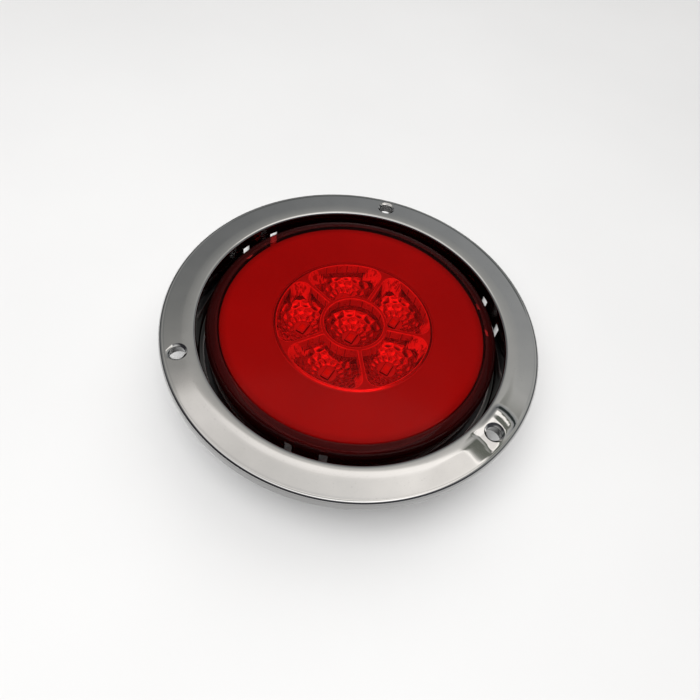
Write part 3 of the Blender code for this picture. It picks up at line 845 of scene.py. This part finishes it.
def petal_outline():
    """A petal's outline about the X axis, anticlockwise from its lower inner corner."""
    half = math.pi / 5
    corner_r = PETAL_OUTER_R - PETAL_CORNER
    corner_turn = half - math.asin((PETAL_HALF_GAP + PETAL_CORNER) / corner_r)
    inner_turn = half - math.asin(PETAL_HALF_GAP / PETAL_INNER_R)
    lower = (corner_r * math.cos(corner_turn), -corner_r * math.sin(corner_turn))
    corner_sweep = half + math.pi / 2 - corner_turn
    # middle, radius, first angle, sweep, number of steps and the steps that give points
    arcs = [
        ((0.0, 0.0), PETAL_INNER_R, inner_turn, -2 * inner_turn, 40, range(41)),
        (lower, PETAL_CORNER, -half - math.pi / 2, corner_sweep, 16, range(17)),
        ((0.0, 0.0), PETAL_OUTER_R, -corner_turn, 2 * corner_turn, 40, range(1, 40)),
        ((lower[0], -lower[1]), PETAL_CORNER, corner_turn, corner_sweep, 16, range(17)),
    ]
    points = []
    for (x, y), radius, first, sweep, count, steps in arcs:
        for step in steps:
            turn = first + sweep * step / count
            points.append((x + radius * math.cos(turn), y + radius * math.sin(turn)))
    return np.array(points), (lower[0], abs(lower[1]))


def reach_of(outline, centre, turns):
    """Distance from the centre to a star-shaped outline, in each direction."""
    around = np.concatenate([outline, outline[:1]]) - np.array(centre)
    found = []
    for turn in turns:
        d = np.array((math.cos(turn), math.sin(turn)))
        best = None
        for a, b in zip(around, around[1:]):
            e = b - a
            cross = d[0] * e[1] - d[1] * e[0]
            if abs(cross) < 1e-15:
                continue
            t = (a[0] * e[1] - a[1] * e[0]) / cross
            s = (a[0] * d[1] - a[1] * d[0]) / cross
            if t > 0 and -1e-9 <= s <= 1 + 1e-9 and (best is None or t < best):
                best = t
        found.append(best)
    return np.array(found)


def bowl_height(r, turn, depth):
    """Height above the foot of a parabolic bowl whose surface is broken into pillows."""
    rise = (BOWL_MOUTH_R**2 - FOOT_R**2) / depth
    height = (r**2 - FOOT_R**2) / rise
    slope = 2 * r / rise
    share = np.clip((r - FOOT_R) / (BOWL_MOUTH_R - FOOT_R), 0, 0.9999) * ROWS
    row = np.floor(share)
    v = share - row
    u = (turn / (2 * math.pi) * FACETS + 0.5 * (row % 2)) % 1.0
    pillow = (1 - (2 * u - 1) ** 2) * (1 - (2 * v - 1) ** 2)
    size = PILLOW_RISE + PILLOW_GROWTH * row / ROWS
    return height + size * pillow * np.sqrt(1 + slope**2)


def cup(centre, turn_of, outline, corners):
    """Verts, faces, their slots and the top outline of one cup, from its foot up to the plate."""
    depth = PLATE_TOP - FOOT_Z
    turns = turns_of(CUP_TURNS)
    reach = reach_of(outline, centre, turns)
    rows = int(math.ceil((reach.max() - FOOT_R) / CUP_STEP))
    radii = [np.minimum(FOOT_R + CUP_STEP * k, reach) for k in range(rows + 1)]
    grid = [(np.full(CUP_TURNS, FOOT_R), np.full(CUP_TURNS, -0.25 * MM))]
    smooth = [np.zeros(CUP_TURNS, bool)]
    for r in radii:
        height = bowl_height(r, turns, depth)
        scooped = np.zeros(CUP_TURNS, bool)
        x = centre[0] + r * np.cos(turns)
        y = centre[1] + r * np.sin(turns)
        for cx, cy in corners:
            away = np.array((cx - centre[0], cy - centre[1]))
            away = away / np.linalg.norm(away)
            a = (x - cx) * away[0] + (y - cy) * away[1]
            b = -(x - cx) * away[1] + (y - cy) * away[0]
            inside = np.abs(b) < PETAL_CORNER * 0.995
            chord = np.sqrt(np.maximum(PETAL_CORNER**2 - b**2, 0))
            scoop = depth - SCOOP_SLOPE * (chord - a)
            taken = inside & (a > -2 * MM) & (scoop > height)
            height = np.where(taken, scoop, height)
            scooped |= taken
        grid.append((r, np.clip(height, 0, depth - LIP)))
        smooth.append(scooped)
    # above the bowl, the wall goes straight up and carries a row of raised panels
    last = grid[-1][1]
    wall = depth - LIP - last
    place = (turns / (2 * math.pi) * FACETS + 0.5) % 1.0
    panel = np.where(wall > 1.0 * MM, (1 - (2 * place - 1) ** 4) * PANEL_RISE, 0.0)
    panel_row = len(grid) + 1
    steps = [(PANEL_START * 0.5, 0.0), (PANEL_START, 0.0), (PANEL_START + 0.08, 1.0), (0.95, 0.4),
             (1.0, 0.0)]
    for share, out in steps:
        grid.append((reach - panel * out, last + wall * share))
        smooth.append(smooth[-1])
    between = np.abs(2 * place - 1) > PANEL_SHARE
    rim_row = len(grid) - 1
    for k in range(1, 4):
        t = math.pi / 2 * k / 3
        grid.append((reach + LIP * (1 - math.cos(t)),
                     np.full(CUP_TURNS, depth - LIP + LIP * math.sin(t))))
        smooth.append(smooth[-1])
    verts = []
    spin = Matrix.Rotation(math.radians(turn_of), 2)
    for r, height in grid:
        for k in range(CUP_TURNS):
            at = spin @ Vector((centre[0] + r[k] * math.cos(turns[k]),
                                centre[1] + r[k] * math.sin(turns[k])))
            verts.append((at.x, at.y, FOOT_Z + height[k]))
    faces = []
    slots = []
    for row, k, face in bands(0, len(grid), CUP_TURNS):
        look = MIRROR
        # painted highlight on each cup's edge and its raised panels
        if row >= rim_row:
            look = RIM_PAINTED_HIGHLIGHT
        # painted reflection in the petals' corner hollows
        elif smooth[row][k] and smooth[row + 1][(k + 1) % CUP_TURNS]:
            look = STREAKS_PAINTED_REFLECTION
        elif row >= panel_row and not between[k]:
            look = RIM_PAINTED_HIGHLIGHT
        faces.append(face)
        slots.append(REFLECTOR_LOOKS.index(look))
    return verts, faces, slots, verts[-CUP_TURNS:]


def inside_of(outline, point):
    """Whether a point lies within a closed outline."""
    x, y = point
    within = False
    for (x1, y1), (x2, y2) in zip(outline, np.roll(outline, -1, axis=0)):
        if (y1 > y) != (y2 > y) and x < (x2 - x1) * (y - y1) / (y2 - y1) + x1:
            within = not within
    return within


def make_reflector():
    """One round cup and five petal cups, joined by a flat plate with a sloping edge."""
    outline, corner = petal_outline()
    verts, faces, slots, tops = [], [], [], []
    cups = [((0.0, 0.0), 0.0, np.array(circle(CUP_MOUTH_R, CUP_TURNS)), [])]
    corners = [(corner[0], corner[1]), (corner[0], -corner[1])]
    cups += [((CUP_PITCH_R, 0.0), angle, outline, corners) for angle in CUP_ANGLES]
    for centre, angle, edge, scoops in cups:
        cup_verts, cup_faces, cup_slots, top = cup(centre, angle, edge, scoops)
        start = len(verts)
        verts += cup_verts
        faces += [tuple(start + k for k in face) for face in cup_faces]
        slots += cup_slots
        tops.append(np.array(top)[:, :2])
    # the plate: the flat area between the cups' edges and its own
    flat_r = PLATE_R - BEVEL_WIDTH
    loops = tops + [np.array(circle(r, RIM_SIDES)) for r in (flat_r - 0.2 * MM, flat_r)]
    edges = []
    start = 0
    for loop in loops:
        count = len(loop)
        edges += [(start + k, start + (k + 1) % count) for k in range(count)]
        start += count
    points = [Vector(point) for loop in loops for point in loop]
    found = delaunay_2d_cdt(points, edges, [], 0, 1e-7)
    flat = [np.array(v) for v in found[0]]
    first = len(verts)
    verts += [(p[0], p[1], PLATE_TOP) for p in flat]
    for triangle in found[2]:
        centre = sum(flat[k] for k in triangle) / len(triangle)
        if any(inside_of(top, centre) for top in tops):
            continue
        faces.append(tuple(first + k for k in triangle))
        slots.append(REFLECTOR_LOOKS.index(SATIN))
    # outer rim and a skirt below it
    lip_rows = [
        (flat_r, PLATE_TOP),
        (PLATE_R - BEVEL_WIDTH * 0.85, PLATE_TOP - BEVEL_DROP * 0.06),
        (PLATE_R - BEVEL_WIDTH * 0.1, PLATE_TOP - BEVEL_DROP * 0.9),
        (PLATE_R, PLATE_TOP - BEVEL_DROP),
        (RING_HOLE_R - 0.05 * MM, PLATE_TOP - BEVEL_DROP * 1.05),
        (RING_HOLE_R - 0.05 * MM, PLATE_TOP - 1.2 * MM),
    ]
    start = len(verts)
    for r, z in lip_rows:
        verts += [(x, y, z) for x, y in circle(r, RIM_SIDES)]
    for row, _, face in bands(start, len(lip_rows), RIM_SIDES):
        faces.append(face)
        slots.append(REFLECTOR_LOOKS.index(MIRROR if row < 3 else SATIN))
    reflector = add_mesh("reflector_cups", verts, faces, REFLECTOR_LOOKS, slots, 0.004 * MM, 50.0)
    weighted = reflector.modifiers.new("normals", "WEIGHTED_NORMAL")
    weighted.keep_sharp = True
    apply_modifiers(reflector)
    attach(reflector, "lamp")
    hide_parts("reflector")


def make_leds():
    """Surface-mount packages: a dark pad and a dark band round the foot that paint the shadow round
    each package, a body with a shallow well, and the phosphor in it.
    """
    for index in range(6):
        node = f"cup_led_{index + 1}"
        at = middle(node)
        bottom = low(node).z
        top = high(node).z

        def layer(name, length, width, foot, head, bevel, look):
            size = (length * MM, width * MM, head - foot)
            return block(size, (at.x, at.y, (foot + head) / 2), LED_TURN, bevel * MM, 2, name, look)

        # painted shadow: a dark pad and a dark band above it round each package
        painted_shadow_pad = layer("painted_shadow_pad", 5.2, 3.4, bottom, bottom + 0.12 * MM, 0.04, EPOXY)
        side = layer("side", 4.66, 2.86, bottom + 0.1 * MM, bottom + 0.3 * MM, 0.05, EPOXY)
        wall = layer("wall", 4.6, 2.8, bottom + 0.28 * MM, top - 0.1 * MM, 0.02, PALE)
        body = layer("body", 4.6, 2.8, top - 0.12 * MM, top, 0.04, PACKAGE)
        well = layer("well", 2.5, 2.1, top - 0.09 * MM, top + 0.2 * MM, 0.03, None)
        combine(body, [well], "DIFFERENCE")
        glow = layer("glow", 2.44, 2.04, top - 0.11 * MM, top - 0.04 * MM, 0.01, PHOSPHOR)
        led = joined(f"cup_led_package_{index + 1}", [painted_shadow_pad, side, wall, body, glow])
        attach(led, "lamp")
        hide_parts(node)


# ---- housing and connector ----
BODY_R = 51.0 * MM
BODY_WALL = 2.2 * MM
FLOOR_THICK = 2.5 * MM
RIM_THICK = 2.5 * MM
GUSSETS = 24                         # small fins that hold up the housing's rim
KEY_PLACES = (-6.0, 0.0, 6.0)        # key slots in the connector's wall, mm from its middle


def stands(name, node, corners):
    """Small turned pieces of the housing, on the axes of three numbered nodes."""
    pieces = []
    for index in range(1, 4):
        centre = middle(f"{node}_{index}")
        piece = turned(name, rounded(corners, steps=3), BLACK, segments=FINE_SEGMENTS)
        piece.data.transform(Matrix.Translation((centre.x, centre.y, 0.0)))
        pieces.append(piece)
    return pieces


def make_housing():
    """Black cup: rounded back with a stepped pattern, gussets under the rim, board posts."""
    rim_r = high("housing").x
    top = high("housing").z
    rim_top = low("lens_seal").z - 0.3 * MM
    rim_under = rim_top - RIM_THICK
    upstand_r = LENS_R - 2.2 * MM
    upstand_in = upstand_r - 1.8 * MM
    inner = BODY_R - BODY_WALL
    step = 0.5 * MM
    back = [(46.0 * MM, 0.0), (45.2 * MM, step), (31.0 * MM, step), (30.2 * MM, 0.0)]
    profile = rounded(
        [
            (upstand_in, top, 0.3 * MM),
            (upstand_r, top, 0.3 * MM),
            (upstand_r, rim_top, 0.2 * MM),
            (rim_r, rim_top, 0.4 * MM),
            (rim_r, rim_under, 0.4 * MM),
            (BODY_R, rim_under, 0.6 * MM),
            (BODY_R, 7.0 * MM, 0.0),
            (BODY_R - 0.3 * MM, 6.7 * MM, 0.1 * MM),
            (BODY_R - 0.3 * MM, 0.0, 2.2 * MM),
            *[(r, z, 0.2 * MM) for r, z in back],
            (0.0, 0.0, 0.0),
            (0.0, FLOOR_THICK, 0.0),
            (inner, FLOOR_THICK, 1.2 * MM),
            (inner, rim_under, 0.5 * MM),
            (upstand_in, rim_top, 0.3 * MM),
        ],
        steps=4,
    )
    housing = turned("housing_shell", refined(profile, 4.0 * MM), BLACK)
    socket_low, socket_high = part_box("connector_socket")
    clear = 0.3 * MM
    opening = (socket_high.x - socket_low.x + 2 * clear,
               socket_high.y - socket_low.y + 2 * clear,
               4 * FLOOR_THICK)
    combine(housing, [block(opening, (0.0, 0.0, FLOOR_THICK / 2))], "DIFFERENCE")
    pieces = [housing]
    for index in range(GUSSETS):
        angle = (index + 0.5) * 360.0 / GUSSETS
        foot = polar(BODY_R + 0.9 * MM, angle, rim_under - 2.0 * MM)
        pieces.append(block((2.4 * MM, 1.2 * MM, 4.2 * MM), foot, angle, 0.3 * MM, 2, "gusset", BLACK))
    post_top = low("circuit_board").z - clear
    post_foot = FLOOR_THICK - 0.2 * MM
    walls = [(1.3, post_top), (3.0, post_top), (3.3, post_foot), (1.3, post_foot)]
    pieces += stands("post", "board_screw", [(r * MM, z, 0.2 * MM) for r, z in walls])
    shell = joined("housing_moulding", pieces)
    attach(shell, "lamp")
    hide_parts("housing")


def make_socket():
    """Connector shroud with a chamfered mouth, key slots and a raised frame round the pins."""
    corner_low, corner_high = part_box("connector_socket")
    size = corner_high - corner_low
    wall = 2.0 * MM
    floor = 2.5 * MM
    depth = size.z - floor
    shroud = block(size, (0.0, 0.0, size.z / 2), 0.0, 0.5 * MM, 3, "shroud", BLACK)
    hollow = block((size.x - 2 * wall, size.y - 2 * wall, 2 * depth), (0.0, 0.0, 0.0), 0.0, 0.4 * MM, 3)
    mouth = (size.x - 2 * wall + 1.0 * MM, size.y - 2 * wall + 1.0 * MM, 1.4 * MM)
    flare = block(mouth, (0.0, 0.0, 0.0), 0.0, 0.5 * MM, 2)
    cutters = [hollow, flare]
    for place in KEY_PLACES:
        at = (place * MM, size.y / 2 - wall, 0.0)
        cutters.append(block((1.6 * MM, 2.0 * MM, 1.5 * depth), at, 0.0, 0.1 * MM, 1))
    combine(shroud, cutters, "DIFFERENCE")
    frames = ((1.4, -0.1), (2.2, -0.1), (2.0, 0.7), (1.4, 0.7))
    corners = [(r * MM, depth - z * MM, 0.15 * MM) for r, z in frames]
    socket = joined("connector_shroud", [shroud, *stands("collar", "terminal", corners)])
    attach(socket, "lamp")
    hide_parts("connector_socket")


# ---- materials of the CAD nodes that stay ----
def dress_nodes():
    looks = {"lens_seal": RUBBER, "circuit_board": MASK, "driver_chip": EPOXY, "capacitor": CAN}
    rows = [("diode", 2, EPOXY), ("resistor", 4, EPOXY), ("board_screw", 3, STEEL),
            ("terminal", 3, TIN), ("ring_led", 12, PACKAGE)]
    for stem, count, look in rows:
        looks.update({f"{stem}_{k}": look for k in range(1, count + 1)})
    for node, look in looks.items():
        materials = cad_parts[node].data.materials
        materials.clear()
        materials.append(look)


# ---- stage, light and camera ----
# the room, by the height of a direction (0 is level, 1 straight up)
# far side, seen in the flange's face: even grey up to 55 degrees, then a bright soft ceiling
FAR_SIDE = [
    (0.0, 0.26), (0.30, (0.16, 0.16, 0.165)), (0.38, (0.045, 0.05, 0.05)),
    (0.50, (0.055, 0.06, 0.06)), (0.56, (0.21, 0.215, 0.218)), (0.68, (0.215, 0.218, 0.218)),
    (0.75, (0.255, 0.256, 0.250)), (0.80, (0.33, 0.326, 0.313)), (0.834, (0.45, 0.44, 0.42)),
    (0.850, (0.54, 0.52, 0.495)), (0.864, (0.98, 0.94, 0.90)), (0.89, (0.96, 0.92, 0.885)),
    (0.93, (0.76, 0.73, 0.70)), (1.0, (0.60, 0.585, 0.57)),
]
# camera's side: the same ceiling comes further down, to a dark wall
NEAR_SIDE = [
    (0.0, (0.10, 0.10, 0.105)), (0.30, (0.03, 0.03, 0.035)), (0.66, (0.04, 0.04, 0.045)),
    (0.78, (0.35, 0.345, 0.34)), (0.85, (1.15, 1.13, 1.11)), (0.955, (1.15, 1.13, 1.11)),
    (0.98, (0.28, 0.275, 0.27)), (1.0, (0.28, 0.275, 0.27)),
]
# at the far right: a dark band low down, a dark strip under the ceiling's edge, a duller ceiling
FAR_RIGHT = [
    ([(0.40, 0.0), (0.44, 1.0), (0.585, 1.0), (0.60, 0.0)], (0.02, 0.024, 0.023)),
    ([(0.785, 0.0), (0.83, 1.0), (0.860, 1.0), (0.864, 0.0)], (0.10, 0.105, 0.09)),
    ([(0.868, 0.0), (0.876, 1.0)], (0.70, 0.67, 0.64)),
]
# name, place, size and power of each soft light
LIGHTS = [
    ("key_light", (-0.12, -0.32, 0.82), 0.8, 7.0),
    ("back_light", (0.10, 0.50, 0.80), 1.1, 3.2),
]
FLOOR_SIZE = 8.0
FLOOR_GAP = 0.0002                   # between the floor and the object
LENS_LENGTH = 29.713                 # mm, on a sensor of 36 mm
CAMERA_PLACE = (8.6546 * MM, -132.1373 * MM, FACE_Z + 168.461 * MM)
AZIMUTH, ELEVATION, ROLL = (math.radians(angle) for angle in (3.5, 54.80, 11.33))


def make_world():
    world = bpy.data.worlds.new("studio")
    bpy.context.scene.world = world
    world.use_nodes = True
    room = Nodes(world.node_tree)
    x, y, z = room.axes("Generated")
    far = room.map_range(y, -0.25, 0.10)
    colour = room.mix(far, room.ramp(z, NEAR_SIDE), room.ramp(z, FAR_SIDE))
    across = room.ramp(x, [(0.155, 0.0), (0.20, 1.0)])
    for stops, tone in FAR_RIGHT:
        mask = room.math("MULTIPLY", across, room.ramp(z, stops))
        colour = room.mix(room.math("MULTIPLY", mask, far), colour, tone)
    background = room.nodes["Background"]
    room.link(colour, background.inputs["Color"])
    room.link(room.map_range(x, -0.35, 0.32, 0.80, 1.46), background.inputs["Strength"])


def make_lights():
    for name, place, size, power in LIGHTS:
        light = bpy.data.lights.new(name, "AREA")
        light.shape = "DISK"
        light.size = size
        light.energy = power
        lamp = new_object(name, light)
        lamp.location = place
        aim = Vector((0, 0, FACE_Z)) - Vector(place)
        lamp.rotation_euler = aim.to_track_quat("-Z", "Y").to_euler()
        lamp.visible_glossy = False


def make_floor():
    bpy.ops.mesh.primitive_plane_add(size=FLOOR_SIZE, location=(0, 0, -FLOOR_GAP))
    floor = bpy.context.active_object
    floor.name = "floor"
    look = Look("pale_floor")
    tone = look.ramp(look.noise(6.0), [(0.3, 0.70), (0.7, 0.73)])
    look.finish(Base_Color=tone, Roughness=0.9, Specular_IOR_Level=0.1)
    floor.data.materials.append(look.material)


def make_camera():
    data = bpy.data.cameras.new("camera")
    data.sensor_width = 36.0
    data.lens = LENS_LENGTH
    data.clip_start = 0.005
    camera = new_object("camera", data)
    back = Vector((math.sin(AZIMUTH) * math.cos(ELEVATION),
                   -math.cos(AZIMUTH) * math.cos(ELEVATION),
                   math.sin(ELEVATION)))
    right = Vector((0, 0, 1)).cross(back).normalized()
    up = back.cross(right)
    rolled_right = right * math.cos(ROLL) + up * math.sin(ROLL)
    rolled_up = up * math.cos(ROLL) - right * math.sin(ROLL)
    rows = zip(rolled_right, rolled_up, back, CAMERA_PLACE)
    camera.matrix_world = Matrix((*rows, (0, 0, 0, 1)))
    bpy.context.scene.camera = camera


make_flange()
make_lens()
make_ring()
make_reflector()
make_leds()
make_housing()
make_socket()
dress_nodes()
make_world()
make_lights()
make_floor()
make_camera()
bpy.context.scene.view_settings.view_transform = "Standard"
